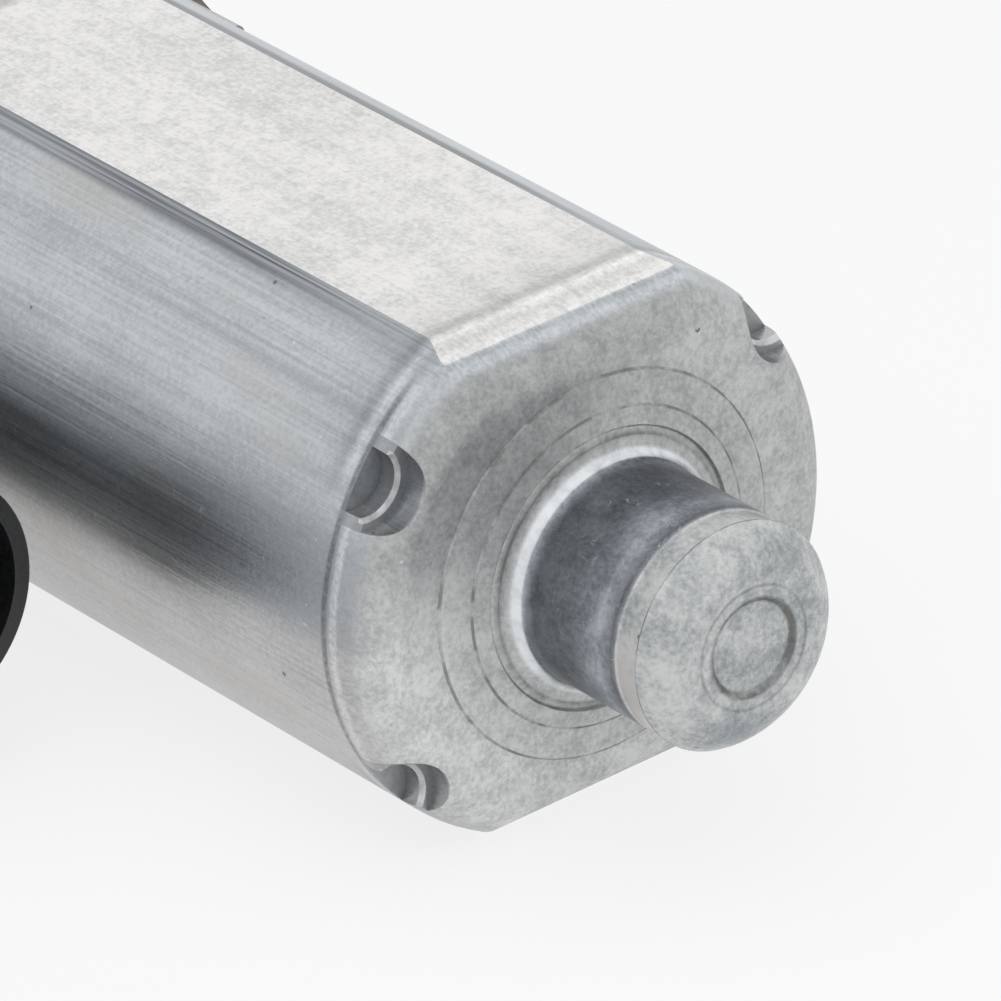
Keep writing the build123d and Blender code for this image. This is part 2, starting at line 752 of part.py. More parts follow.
def gear_housing():
    """Moulded housing: wheel case, worm tunnel, motor flange, connector pad and mounting bosses."""
    face_x = flange_x - gasket_thickness
    solid = [case_outline(case_bottom_z, case_top_z)]
    solid.append(post(0, 0, pin_boss_z, case_bottom_z + 1, pin_boss_r))
    solid.append(rod(tunnel_start_x, flange_x - 8, tunnel_r))
    solid.append(block(tunnel_start_x + 6, flange_x - 8, motor_y - tunnel_r, motor_y,
                       case_bottom_z, 0))
    solid.append(double_d(flange_x - flange_block, face_x, can_radius + flange_lip, can_half_flat))
    ears = ear_pair(flange_x - flange_block, face_x, ear_radius)
    solid.append(ears & block(0, face_x, -50, 90, -can_half_flat, can_half_flat))
    half = socket_plate_half
    solid.append(block(case_outer_r - 4, pad_x, socket_y - half, socket_y + half,
                       socket_z - half, socket_z + half))
    solid.append(block(case_outer_r - 4, pad_x, socket_y, motor_y - 8, -9.0, 3.5))
    for angle in mount_angles:
        solid.append(mounting_boss(angle))
    body = joined(solid)
    body -= post(0, 0, case_bottom_z + case_floor, case_top_z + 1, case_inner_r)
    body += post(0, 0, case_bottom_z + 1, case_bottom_z + case_floor, axle_r + 4)
    body -= post(0, 0, pin_boss_z + pin_floor, case_top_z, axle_r)
    body -= rod(tail_x + 0.1, flange_x - recess_depth + 1, tunnel_bore_r)
    body -= rod(tail_bearing_x - 0.6, tail_x + 0.5, tail_bearing_r)
    body -= rod(tunnel_start_x - 1, tail_bearing_x, thrust_screw_r + seat_gap)
    body -= double_d(flange_x - recess_depth, face_x + 1, can_inner_r - 0.2, can_inner_flat - 0.2)
    body -= block(flange_x - duct_x[0], flange_x - duct_x[1], socket_y - duct_half, motor_y - 10, *duct_z)
    body -= block(flange_x - duct_x[0], pad_x + 1, socket_y - duct_half, socket_y + duct_half, *duct_z)
    for side in (-1, 1):
        body -= rod(flange_x - 8.0, flange_x, 2.0, motor_y + side * ear_y, side * ear_z)
        offset = side * socket_screw_offset
        body -= rod(pad_x - 6.0, pad_x + 1, socket_screw_r + seat_gap, socket_y - offset, socket_z + offset)
    for angle in cover_screw_angles:
        x, y = around(cover_screw_r, angle)
        body -= post(x, y, case_top_z - 8.5, case_top_z + 1, screw_r)
    for angle in mount_angles:
        x, y = around(mount_circle_r, angle)
        body -= post(x, y, -can_half_flat - 1, mount_plane_z + 1, mount_bore_r + sleeve_wall)
    return body


def mounting_sleeves():
    """Steel sleeves that take the clamp load of the three mounting bolts."""
    sleeves = []
    for angle in mount_angles:
        x, y = around(mount_circle_r, angle)
        sleeve = post(x, y, -can_half_flat, mount_plane_z, mount_bore_r + sleeve_wall)
        sleeves.append(sleeve - post(x, y, -can_half_flat - 1, mount_plane_z + 1, mount_bore_r))
    return group(sleeves)


save(gear_housing(), "gear_housing")
save(mounting_sleeves(), "mounting_sleeves")


# ---- worm wheel and output -----------------------------------------------------------------------
def tooth_face(z, turn):
    """The toothed outline at one height, turned by a given angle."""
    slope = math.tan(math.radians(pressure_angle))
    gap_half = lead / 4 + tooth_backlash / 4
    points = []
    for index in range(wheel_teeth):
        centre = 90.0 + turn + index * 360.0 / wheel_teeth
        for radius, side in ((wheel_tip_r, -1), (wheel_root_r, -1), (wheel_root_r, 1), (wheel_tip_r, 1)):
            half = gap_half + (radius - wheel_pitch_r) * slope
            angle = math.radians(centre) + side * half / radius
            points.append((radius * math.cos(angle), radius * math.sin(angle)))
    return Pos(0, 0, z) * make_face(Polyline(*points, close=True))


def fins(z0, z1, offset):
    """Three radial drive fins."""
    shapes = []
    for index in range(fin_count):
        fin = block(wheel_hub_r + 0.6, rim_inner_r - 0.4, -fin_thickness / 2, fin_thickness / 2, z0, z1)
        shapes.append(Rot(0, 0, offset + index * 360 / fin_count) * fin)
    return shapes


def worm_wheel():
    """Moulded helical wheel: toothed rim, web, hub and three fins that push on the damper."""
    half = wheel_face / 2
    twist = math.degrees(half * (lead / (2 * math.pi)) / worm_pitch_r / wheel_pitch_r)
    teeth = loft([tooth_face(-half, -twist), tooth_face(half, twist)], ruled=True)
    wheel = teeth - post(0, 0, web_z + wheel_web, half + 1, rim_inner_r)
    hub = post(0, 0, hub_bottom_z, half - 1.8, wheel_hub_r)
    wheel = joined([wheel, hub] + [
        Rot(0, 0, index * 360 / fin_count) * block(wheel_hub_r - 1, rim_inner_r + 1, -fin_thickness / 2,
                                                   fin_thickness / 2, web_z + 1, half - 1.9)
        for index in range(fin_count)])
    return wheel - post(0, 0, hub_bottom_z - 1, half + 1, axle_r + running_gap)


def damper():
    """Rubber cushion between the wheel fins and the driver fins."""
    low, high = web_z + wheel_web, wheel_face / 2 - fin_gap
    ring = post(0, 0, low, high, rim_inner_r) - post(0, 0, low - 1, high + 1, wheel_hub_r)
    half = fin_thickness / 2 + fin_gap
    for index in range(2 * fin_count):
        slot = block(wheel_hub_r - 1, rim_inner_r + 1, -half, half, low - 1, high + 1)
        ring -= Rot(0, 0, index * 180 / fin_count) * slot
    return ring


def output_driver():
    """Driven disc with fins below and a collar with three round drive dogs above."""
    top = driver_top_z
    body = joined(
        [post(0, 0, disc_z, disc_z + driver_disc, rim_inner_r - 0.4),
         post(0, 0, disc_z, top, driver_collar_r),
         post(0, 0, wheel_face / 2 - 1.7, disc_z + 1, wheel_hub_r)]
        + fins(web_z + wheel_web + fin_gap, disc_z + 1, 180 / fin_count))
    for index in range(dog_count):
        x, y = around(dog_circle_r, 90 + index * 360.0 / dog_count)
        body += post(x, y, top - 1, top + dog_height, dog_r)
    return body - post(0, 0, -5, top + 10, axle_r + running_gap)


def axle_pin():
    """Fixed steel pin, pressed into the housing floor, with a groove for the retaining ring."""
    pin = post(0, 0, pin_boss_z + pin_floor, axle_top_z, axle_r)
    pin = chamfer(pin.edges().filter_by(GeomType.CIRCLE).sort_by(Axis.Z)[-1], 0.6)
    groove = post(0, 0, driver_top_z + 0.1, driver_top_z + 0.1 + ring_groove, axle_r + 1)
    return pin - (groove - post(0, 0, driver_top_z - 1, driver_top_z + 2, axle_r - 0.7))


def retaining_ring():
    """Split ring in the groove of the pin, above the driver."""
    low, high = driver_top_z + 0.15, driver_top_z + 0.05 + ring_groove
    ring = post(0, 0, low, high, axle_r + 1.4) - post(0, 0, low - 1, high + 1, axle_r - 0.65)
    return ring - block(0, 9, -1.6, 1.6, low - 1, high + 1)


def thrust_washer():
    """Steel washer under the wheel hub."""
    ring = post(0, 0, floor_z, floor_z + washer_thickness, axle_r + 3.6)
    return ring - post(0, 0, floor_z - 1, floor_z + 2, axle_r + 0.1)


def cover_outline(z0, z1):
    """Outline of the cover: just inside the case edge, and cut straight beside the motor flange."""
    edge_x = flange_x - flange_block - cover_edge_gap
    trim = block(edge_x, edge_x + 20, 0, motor_y, z0 - 1, z1 + 1)
    return case_outline(z0, z1, -cover_edge_gap) - trim


def cover_gasket_ring():
    """Gasket between the case and its cover."""
    low = case_top_z
    ring = cover_outline(low, low + cover_gasket) - post(0, 0, low - 1, low + 2, case_inner_r + 0.3)
    return ring - cover_screw_holes(low - 1, low + 2, screw_r + 0.1)


def cover_screw_holes(z0, z1, radius):
    """All the cover screw holes as one cutter."""
    return joined([post(*around(cover_screw_r, angle), z0, z1, radius) for angle in cover_screw_angles])


def cover_plate():
    """Pressed steel cover with a dished centre round the driver collar."""
    low = case_top_z + cover_gasket
    plate = cover_outline(low, low + cover_thickness)
    top = low + dish_rise + cover_thickness
    plate += post(0, 0, low, top, driver_collar_r + dish_width)
    plate -= post(0, 0, low - 1, low + dish_rise, driver_collar_r + seal_width)
    plate -= post(0, 0, low - 1, low + 5, driver_collar_r + 0.6)
    rims = plate.edges().filter_by(GeomType.CIRCLE).filter_by(
        lambda edge: abs(edge.center().Z - top) < 0.01 and edge.radius > driver_collar_r + seal_width)
    plate = fillet(rims, 0.8)
    return plate - cover_screw_holes(low - 1, low + 4, screw_r + 0.1)


def output_seal():
    """Rubber lip ring under the dished cover, round the driver collar."""
    low = case_top_z + cover_gasket - 0.9
    ring = post(0, 0, low, case_top_z + cover_gasket + dish_rise, driver_collar_r + seal_width)
    return ring - post(0, 0, low - 1, low + 5, driver_collar_r + 0.1)


def star_screw(head_r, head_height, shank_r, shank_length):
    """Round-headed screw along +Z with a six-sided recess; the head sits on Z = 0."""
    head = Pos(0, 0, head_height / 2) * Cylinder(head_r, head_height)
    top = head.edges().filter_by(GeomType.CIRCLE).sort_by(Axis.Z)[-1]
    head = fillet(top, head_height * 0.35)
    shank = Pos(0, 0, -shank_length / 2) * Cylinder(shank_r, shank_length)
    recess = Pos(0, 0, head_height * 0.4) * RegularPolygon(head_r * 0.5, 6)
    recess = extrude(recess, amount=head_height)
    return head + shank - recess


def along_x(x, y, z, shape):
    """Turn a screw so that its head faces +X at the given place."""
    return Plane(origin=(x, y, z), x_dir=(0, 1, 0), z_dir=(1, 0, 0)) * shape


def cover_screws():
    """Five screws that hold the cover."""
    top = case_top_z + cover_gasket + cover_thickness
    return group([Pos(*around(cover_screw_r, angle), top) * star_screw(2.8, 2.0, screw_r, screw_length)
                  for angle in cover_screw_angles])


def can_screws():
    """Two screws through the ears of the can."""
    x = flange_x + flange_thickness
    screw = star_screw(3.6, 3.0, can_screw_r, can_screw_length)
    return group([along_x(x, motor_y + side * ear_y, side * ear_z, screw) for side in (-1, 1)])


def can_gasket():
    """Gasket between the can flange and the housing."""
    face_x = flange_x - gasket_thickness
    ring = double_d(face_x, flange_x, can_radius + flange_lip - 0.3, can_half_flat - 0.3)
    ring -= double_d(face_x - 1, flange_x + 1, can_inner_r - 0.1, can_inner_flat - 0.1)
    for side in (-1, 1):
        ring -= rod(face_x - 1, flange_x + 1, 2.2, motor_y + side * ear_y, side * ear_z)
    return ring


save(worm_wheel(), "worm_wheel")
save(damper(), "damper")
save(output_driver(), "output_driver")
save(axle_pin(), "axle_pin")
save(retaining_ring(), "retaining_ring")
save(thrust_washer(), "thrust_washer")
save(cover_gasket_ring(), "cover_gasket")
save(cover_plate(), "cover_plate")
save(output_seal(), "output_seal")
save(cover_screws(), "cover_screws")
save(can_screws(), "can_screws")
save(can_gasket(), "can_gasket")


# ---- connector -----------------------------------------------------------------------------------
def connector_shell():
    """Round socket beside the can: base plate, neck and open shroud facing +X."""
    plate_x = pad_x + gasket_thickness
    half = socket_plate_half
    plate = block(plate_x, plate_x + socket_plate, socket_y - half, socket_y + half,
                  socket_z - half, socket_z + half)
    plate = fillet(plate.edges().filter_by(Axis.X), 2.5)
    body = plate + rod(plate_x, socket_mouth_x, socket_r, socket_y, socket_z)
    body -= rod(socket_floor_x, socket_mouth_x + 1, socket_r - socket_wall, socket_y, socket_z)
    for side in (-1, 1):
        offset = side * socket_screw_offset
        body -= rod(plate_x - 1, plate_x + 9, 1.35, socket_y - offset, socket_z + offset)
        z = socket_z + side * blade_pitch / 2
        body -= block(plate_x - 1, socket_floor_x + 1, socket_y - blade_width / 2 - seat_gap,
                      socket_y + blade_width / 2 + seat_gap, z - blade_thickness / 2 - seat_gap,
                      z + blade_thickness / 2 + seat_gap)
    return body


def connector_gasket():
    """Gasket under the connector base."""
    half = socket_plate_half - 0.3
    ring = block(pad_x, pad_x + gasket_thickness, socket_y - half, socket_y + half,
                 socket_z - half, socket_z + half)
    ring -= block(pad_x - 1, pad_x + 2, socket_y - 5.0, socket_y + 5.0, socket_z - 4.0, socket_z + 4.0)
    for side in (-1, 1):
        offset = side * socket_screw_offset
        ring -= rod(pad_x - 1, pad_x + 2, 1.5, socket_y - offset, socket_z + offset)
    return ring


def connector_blades():
    """Two brass blades that run from the socket back and across to the brush card."""
    blades = []
    for side in (-1, 1):
        z = socket_z + side * blade_pitch / 2
        low, high = z - blade_thickness / 2, z + blade_thickness / 2
        back = flange_x - blade_back
        tip = block(back, blade_tip_x, socket_y - blade_width / 2, socket_y + blade_width / 2, low, high)
        reach = block(back, back + blade_arm, socket_y - blade_width / 2, motor_y - 14.0, low, high)
        end = block(back, card_x, motor_y - 14.0 - blade_arm, motor_y - 14.0, low, high)
        blades.append(joined([tip, reach, end]))
    return group(blades)


def connector_screws():
    """Two small screws that hold the connector."""
    x = pad_x + gasket_thickness + socket_plate
    return group([along_x(x, socket_y - side * socket_screw_offset, socket_z + side * socket_screw_offset,
                          star_screw(2.2, 1.6, socket_screw_r, 8.5)) for side in (-1, 1)])


save(connector_shell(), "connector_shell")
save(connector_gasket(), "connector_gasket")
save(connector_blades(), "connector_blades")
save(connector_screws(), "connector_screws")
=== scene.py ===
import math
import bpy
from mathutils import Matrix, Vector


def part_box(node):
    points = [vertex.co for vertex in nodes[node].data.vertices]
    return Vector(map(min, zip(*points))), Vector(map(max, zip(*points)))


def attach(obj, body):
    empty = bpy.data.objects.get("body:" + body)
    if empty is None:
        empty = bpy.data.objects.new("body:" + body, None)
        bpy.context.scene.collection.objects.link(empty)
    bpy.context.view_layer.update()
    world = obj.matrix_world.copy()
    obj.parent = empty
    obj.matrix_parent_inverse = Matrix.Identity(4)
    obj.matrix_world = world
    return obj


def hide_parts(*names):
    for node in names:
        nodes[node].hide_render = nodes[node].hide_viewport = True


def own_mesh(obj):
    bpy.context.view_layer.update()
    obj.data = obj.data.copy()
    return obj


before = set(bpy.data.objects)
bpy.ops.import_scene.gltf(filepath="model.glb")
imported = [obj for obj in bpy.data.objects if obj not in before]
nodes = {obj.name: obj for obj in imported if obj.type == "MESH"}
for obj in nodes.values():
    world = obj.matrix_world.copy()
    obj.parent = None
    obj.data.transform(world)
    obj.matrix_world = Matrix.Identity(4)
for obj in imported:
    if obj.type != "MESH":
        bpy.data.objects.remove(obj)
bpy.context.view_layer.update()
print("frame loaded:", len(nodes), "pieces")

mm = 0.001
motorY = 31.5 * mm  # the motor's axis runs along X at this Y; the output axis is Z


class Wire:  # one shader value: arithmetic on it adds Math nodes
    def __init__(self, shade, socket):
        self.shade = shade
        self.socket = socket

    def math(self, operation, *others):
        values = dict(enumerate((self,) + others))
        return self.shade.node("ShaderNodeMath", {"operation": operation}, values)

    def __add__(self, other):
        return self.math("ADD", other)

    __radd__ = __add__

    def __sub__(self, other):
        return self.math("SUBTRACT", other)

    def __rsub__(self, other):
        return self.shade.node("ShaderNodeMath", {"operation": "SUBTRACT"}, {0: other, 1: self})

    def __mul__(self, other):
        return self.math("MULTIPLY", other)

    __rmul__ = __mul__

    def __truediv__(self, other):
        return self.math("DIVIDE", other)

    def __pow__(self, other):
        return self.math("POWER", other)

    def __abs__(self):
        return self.math("ABSOLUTE")

    def rise(self, low, high, start=0.0, end=1.0):  # soft step from start at low to end at high
        settings = {"interpolation_type": "SMOOTHSTEP", "clamp": True}
        return self.shade.node("ShaderNodeMapRange", settings,
                               {"Value": self, "From Min": low, "From Max": high,
                                "To Min": start, "To Max": end})

    def fall(self, low, high):
        return self.rise(low, high, 1.0, 0.0)

    def band(self, low, high, soft):  # one between low and high, zero outside
        return self.rise(low - soft, low) * self.fall(high, high + soft)

    def line(self, place, half, soft):  # one within half of a value, soft at both sides
        return abs(self - place).fall(half, half + soft)


class Shade:  # the node tree of one finish
    def __init__(self, name):
        self.material = bpy.data.materials.new(name)
        self.material.use_nodes = True
        self.tree = self.material.node_tree
        self.tree.nodes.clear()
        self.place = self.node("ShaderNodeTexCoord", out="Object")
        self.facing = self.node("ShaderNodeNewGeometry", out="Normal")

    def node(self, kind, settings=None, values=None, out=0):
        made = self.tree.nodes.new(kind)
        for key, value in (settings or {}).items():
            if key == "stops":
                ramp = made.color_ramp.elements
                while len(ramp) < len(value):
                    ramp.new(0.5)
                for stop, (position, tone) in zip(ramp, value):
                    stop.position = position
                    stop.color = (tone, tone, tone, 1.0)
            else:
                setattr(made, key, value)
        for key, value in (values or {}).items():
            if isinstance(value, Wire):
                self.tree.links.new(value.socket, made.inputs[key])
            else:
                made.inputs[key].default_value = value
        return Wire(self, made.outputs[out])

    def axis(self, vector, letter):
        return self.node("ShaderNodeSeparateXYZ", None, {0: vector}, letter)

    def axes(self, vector):
        return [self.axis(vector, letter) for letter in "XYZ"]

    def scaled(self, scale, offset=0.0):  # object place times a scale for each axis
        large = self.node("ShaderNodeVectorMath", {"operation": "MULTIPLY"},
                          {0: self.place, 1: scale})
        return self.node("ShaderNodeVectorMath", {"operation": "ADD"},
                         {0: large, 1: (offset,) * 3})

    def radius(self, axis):  # distance from the motor's axis or from the output axis
        x, y, z = self.axes(self.place)
        first, second = (y - motorY, z) if axis == "motor" else (x, y)
        return (first * first + second * second) ** 0.5

    def latheLines(self, axis, scale):  # fine rings, as a lathe leaves them
        along = self.axis(self.place, "X" if axis == "motor" else "Z")
        rings = self.node("ShaderNodeCombineXYZ", None,
                          {0: along * scale, 1: self.radius(axis) * scale})
        return self.noise(1.0, 3.0, 0.6, rings)

    def noise(self, scale, detail=3.0, rough=0.5, vector=None, distort=0.0):
        return self.node("ShaderNodeTexNoise", None,
                         {"Vector": vector or self.place, "Scale": scale, "Detail": detail,
                          "Roughness": rough, "Distortion": distort})

    def scratches(self, scale, offset, width=0.006):  # thin broken lines
        way = self.noise(scale, 1.0, 0.4, self.scaled((1.0, 1.0, 1.0), offset), 0.6)
        where = self.noise(scale * 0.9, 2.0, 0.5, self.scaled((1.0, 1.0, 1.0), offset + 7.0))
        return abs(way - 0.5).fall(width * 0.4, width) * where.rise(0.55, 0.62)

    def dots(self, scale, core, rim):  # one small round mark in each cell of a cellular pattern
        near = self.node("ShaderNodeTexVoronoi", None,
                         {"Vector": self.place, "Scale": scale, "Randomness": 1.0})
        return near.fall(core, rim)

    def edges(self, width):  # one along outside and inside corners
        soft = self.node("ShaderNodeBevel", {"samples": 4}, {"Radius": width})
        same = self.node("ShaderNodeVectorMath", {"operation": "DOT_PRODUCT"},
                         {0: soft, 1: self.facing}, 1)
        return same.fall(0.88, 0.995)

    def mix(self, factor, a, b, mode="MIX"):
        wide = [value if isinstance(value, Wire) else (*value, 1.0) for value in (a, b)]
        return self.node("ShaderNodeMix", {"data_type": "RGBA", "blend_type": mode},
                         {0: factor, 6: wide[0], 7: wide[1]}, 2)

    def ramp(self, value, low, high, stops):  # grey tones from low to high
        share = self.node("ShaderNodeMapRange", {"clamp": True},
                          {"Value": value, "From Min": low, "From Max": high})
        placed = [((place - low) / (high - low), tone) for place, tone in stops]
        return self.node("ShaderNodeValToRGB", {"stops": placed}, {0: share})

    def bump(self, height, strength, distance):
        return self.node("ShaderNodeBump", None,
                         {"Height": height, "Strength": strength, "Distance": distance})

    def surface(self, **values):
        named = {key.replace("_", " "): value for key, value in values.items()}
        shader = self.node("ShaderNodeBsdfPrincipled", None, named)
        output = self.tree.nodes.new("ShaderNodeOutputMaterial")
        self.tree.links.new(shader.socket, output.inputs["Surface"])
        return self.material


def dress(material, *names):
    for name in names:
        for slot in nodes[name].material_slots:
            slot.material = material


# drawn and zinc plated can: flats, round sides, end, neck and head of the nub differ in tone
can = {"endX": 111.0 * mm, "flatZ": 19.86 * mm, "edge": 3.75 * mm, "flangeX": 38.0 * mm,
       "flatLight": (0.85, 0.84, 0.825), "flatDark": (0.58, 0.58, 0.575),
       "sideLight": (0.59, 0.605, 0.62), "sideDark": (0.38, 0.395, 0.41),
       "underFlatShadeLight": (0.40, 0.42, 0.445), "underFlatShadeDark": (0.10, 0.105, 0.12),
       "paintedCoolReflection": (0.97, 1.0, 1.02), "paintedWarmReflection": (1.0, 0.97, 0.945), "brown": (0.50, 0.45, 0.40),
       "paintedDarkReflection": (0.23, 0.245, 0.27),
       "endLight": (0.68, 0.685, 0.68), "endDark": (0.42, 0.435, 0.44),
       "neckLight": (0.40, 0.43, 0.465), "neckDark": (0.12, 0.13, 0.15),
       "headLight": (0.63, 0.635, 0.63), "headDark": (0.27, 0.30, 0.315),
       "rootHighlightColour": (0.84, 0.87, 0.89),
       # stain is the colour of the pits and the collar stain, and also of the painted shade lines
       # at the rings, creases and dimple
       "pocketShade": (0.22, 0.23, 0.245), "stain": (0.10, 0.095, 0.09), "rust": (0.16, 0.11, 0.08),
       "scratchAndHighlight": (0.78, 0.79, 0.80), "waist": (0.55, 0.53, 0.51),
       "pocketY": 18.49 * mm, "pocketZ": 12.93 * mm, "pocketR": 3.6 * mm, "pocketDeep": 4.3 * mm,
       "pocketStep": 2.3 * mm, "pocketSeatR": 2.6 * mm,
       "rings": (15.03 * mm, 12.43 * mm, 10.95 * mm), "dimple": 3.7 * mm,
       "beadY": 15.0 * mm, "beadZ": 16.1 * mm, "beadEnd": 51.0 * mm, "beadR": 1.1 * mm,
       # places along the axis, back from the end face; ahead of it, on the nub, they are negative
       "neckSpan": (-12.1 * mm, -1.9 * mm), "waistSpan": (-14.35 * mm, -12.25 * mm),
       "rootSpan": (-2.5 * mm, -1.3 * mm), "rootRadius": (10.2 * mm, 10.5 * mm),
       "footDeep": -1.05 * mm, "footRadius": 10.6 * mm, "headCrease": -14.55 * mm,
       "neckCrease": -11.8 * mm, "tip": (-16.6 * mm, -16.2 * mm), "tipRing": 4.8 * mm,
       "shadeLineDeep": 4.4 * mm, "highlightLineDeep": 3.4 * mm, "lineEnds": (17 * mm, 19 * mm),
       "cornerDeep": (1.5 * mm, 4.5 * mm), "cornerHigh": (12.5 * mm, 17.5 * mm),
       "bandHigh": (2.5 * mm, 7.5 * mm), "bandSoft": 3.5 * mm, "bandX": (74 * mm, 96 * mm),
       # how much finer each grain is along X, Y and Z
       "fineGrain": (30.0, 4200.0, 4200.0), "broadGrain": (7.0, 480.0, 480.0),
       "patchGrain": (60.0, 190.0, 190.0),
       # painted shade and light on the end face: darker towards the top, lighter on the near side
       # and darker on the far side, and darker towards its middle
       "endDown": ((-20.0, 0.66), (-15.0, 0.70), (-12.0, 0.80), (-9.0, 0.94), (15.0, 1.0)),
       "endAcross": ((-18.0, 1.16), (0.0, 1.0), (18.0, 0.88)),
       "endOut": ((12.0, 0.85), (14.5, 0.90), (16.0, 1.0)),
       # painted highlights and shade of the flat ahead of and over the bevel, by distance back from
       # the end
       "bevelHighlightsAndShade": ((0.0, 1.25), (0.4, 0.58), (1.0, 0.68), (1.7, 1.3), (2.5, 0.97),
                      (3.3, 1.08), (4.5, 0.90), (5.4, 1.15), (6.2, 0.70), (6.7, 0.70),
                      (7.4, 0.88), (9.0, 0.92), (14.0, 1.0)),
       # painted highlight and shade bands along the nub, by distance ahead of the end face
       "neckHighlightsAndShade": ((0.0, 1.0), (2.3, 1.3), (3.0, 0.75), (7.0, 0.8), (9.4, 1.25), (10.2, 1.6),
                     (10.9, 1.15), (11.7, 0.7), (12.3, 1.2))}


def inMm(stops):
    return [(at * mm, tone) for at, tone in stops]


def canFinish(v):
    shade = Shade("drawnZinc")
    x, y, z = shade.axes(shade.place)
    nx, nz = shade.axis(shade.facing, "X"), shade.axis(shade.facing, "Z")
    across = y - motorY
    radius = shade.radius("motor")
    high = abs(z)
    deep = v["endX"] - x  # distance back from the end face
    onFlat = abs(nz).rise(0.950, 0.972)
    onEnd = nx.rise(0.35, 0.80) * deep.rise(-1.5 * mm, -1.0 * mm)
    onNub = deep.fall(-1.6 * mm, -1.0 * mm)
    onNeck = deep.band(*v["neckSpan"], 0.2 * mm)
    onWaist = deep.band(*v["waistSpan"], 0.12 * mm)
    # painted shade: a dark line on the round side just under the edge of each flat, fainter towards
    # the end
    seam = high.rise(v["flatZ"] - 1.0 * mm, v["flatZ"] - 0.35 * mm) * (1.0 - onFlat) \
        * deep.rise(v["edge"], v["edge"] + 22 * mm, 0.25, 1.0)

    fine = shade.noise(1.0, 3.0, 0.62, shade.scaled(v["fineGrain"]))
    broad = shade.noise(1.0, 2.0, 0.5, shade.scaled(v["broadGrain"], 3.0))
    grain = shade.noise(2300.0, 4.0, 0.7)
    blotch = shade.noise(520.0, 5.0, 0.62)
    cloud = shade.noise(85.0, 4.0, 0.6)
    patch = shade.noise(1.0, 3.0, 0.55, shade.scaled(v["patchGrain"], 9.0))
    streak = fine * 0.55 + broad * 0.45
    mottle = grain * 0.45 + blotch * 0.35 + cloud * 0.20

    flatGrain = streak * 0.25 + cloud * 0.20 + blotch * 0.20 + grain * 0.35
    flat = shade.mix(flatGrain.rise(0.38, 0.58), v["flatDark"], v["flatLight"])
    sideGrain = fine * 0.30 + broad * 0.22 + grain * 0.30 + cloud * 0.18
    side = shade.mix(sideGrain.rise(0.37, 0.61), v["sideDark"], v["sideLight"])
    side = shade.mix(patch.rise(0.50, 0.75) * 0.35, side, v["brown"])
    # painted reflection: the round side is tinted cool above its middle and warm below it
    paintedReflectionTint = shade.mix(z.rise(-1 * mm, 3 * mm), v["paintedWarmReflection"], v["paintedCoolReflection"])
    side = shade.mix(1.0, side, paintedReflectionTint, "MULTIPLY")
    # painted dark reflection: a dark band along the round side just above its middle, towards the
    # end
    onPaintedDarkReflection = z.band(*v["bandHigh"], v["bandSoft"]) * x.rise(*v["bandX"])
    bandGrain = (broad * 0.5 + fine * 0.5).rise(0.3, 0.6, 0.30, 0.54)
    side = shade.mix(onPaintedDarkReflection * bandGrain, side, v["paintedDarkReflection"])
    # colour of the painted shade line under the flats
    dark = shade.mix(streak.rise(0.40, 0.62), v["underFlatShadeDark"], v["underFlatShadeLight"])
    end = shade.mix(mottle.rise(0.36, 0.62), v["endDark"], v["endLight"])
    neckGrain = mottle * 0.6 + cloud * 0.4
    neck = shade.mix(neckGrain.rise(0.36, 0.66), v["neckDark"], v["neckLight"])
    headGrain = mottle * 0.65 + patch * 0.35
    head = shade.mix(headGrain.rise(0.38, 0.60), v["headDark"], v["headLight"])

    # painted highlights and shade across the bevel and the rounding, on faces that look up or down
    bevel = shade.ramp(deep, 0.0, 14 * mm, inMm(v["bevelHighlightsAndShade"]))
    colour = shade.mix(onFlat, side, flat)
    colour = shade.mix(seam, colour, dark)
    shaded = shade.mix(1.0, colour, bevel, "MULTIPLY")
    colour = shade.mix(abs(nz).rise(0.45, 0.65), colour, shaded)
    # a painted shade line round the side where it turns into the rounded edge of the end, and a
    # painted highlight line on that rounded edge; both stop short of the flats
    paintedShadeLine = deep.line(v["shadeLineDeep"], 0.12 * mm, 0.35 * mm) * high.fall(*v["lineEnds"])
    colour = shade.mix(paintedShadeLine * grain.rise(0.35, 0.6, 0.3, 0.75), colour, v["underFlatShadeDark"])
    paintedHighlightLine = deep.line(v["highlightLineDeep"], 0.15 * mm, 0.4 * mm) * high.fall(*v["lineEnds"])
    colour = shade.mix(paintedHighlightLine * grain.rise(0.35, 0.6, 0.15, 0.5), colour, v["scratchAndHighlight"])
    # painted shade on the rounded edge of the end beside the corners of the flats, holding down a
    # highlight there
    corner = deep.fall(*v["cornerDeep"]) * high.band(*v["cornerHigh"], 1.5 * mm)
    colour = shade.mix(corner * (1.0 - onFlat) * 0.45, colour, v["endDark"])
    paintedShadeMiddle = shade.ramp(radius, 12 * mm, 18 * mm, inMm(v["endOut"]))
    paintedShadeTop = shade.ramp(across * 0.45 - z * 0.9, -20 * mm, 20 * mm, inMm(v["endDown"]))
    paintedLightAcross = shade.ramp(across, -20 * mm, 20 * mm, inMm(v["endAcross"]))
    # the end face is multiplied by these three ramps of painted shade and light
    for worn in (paintedShadeMiddle, paintedShadeTop, paintedLightAcross):
        end = shade.mix(1.0, end, worn, "MULTIPLY")
    colour = shade.mix(onEnd, colour, end)
    colour = shade.mix(onNub, colour, head)
    # painted highlight: a bright ring on the fillet at the foot of the nub
    paintedRootHighlight = deep.band(*v["rootSpan"], 0.25 * mm) * radius.fall(*v["rootRadius"])
    colour = shade.mix(paintedRootHighlight * blotch.rise(0.3, 0.6, 0.45, 0.85), colour, v["rootHighlightColour"])
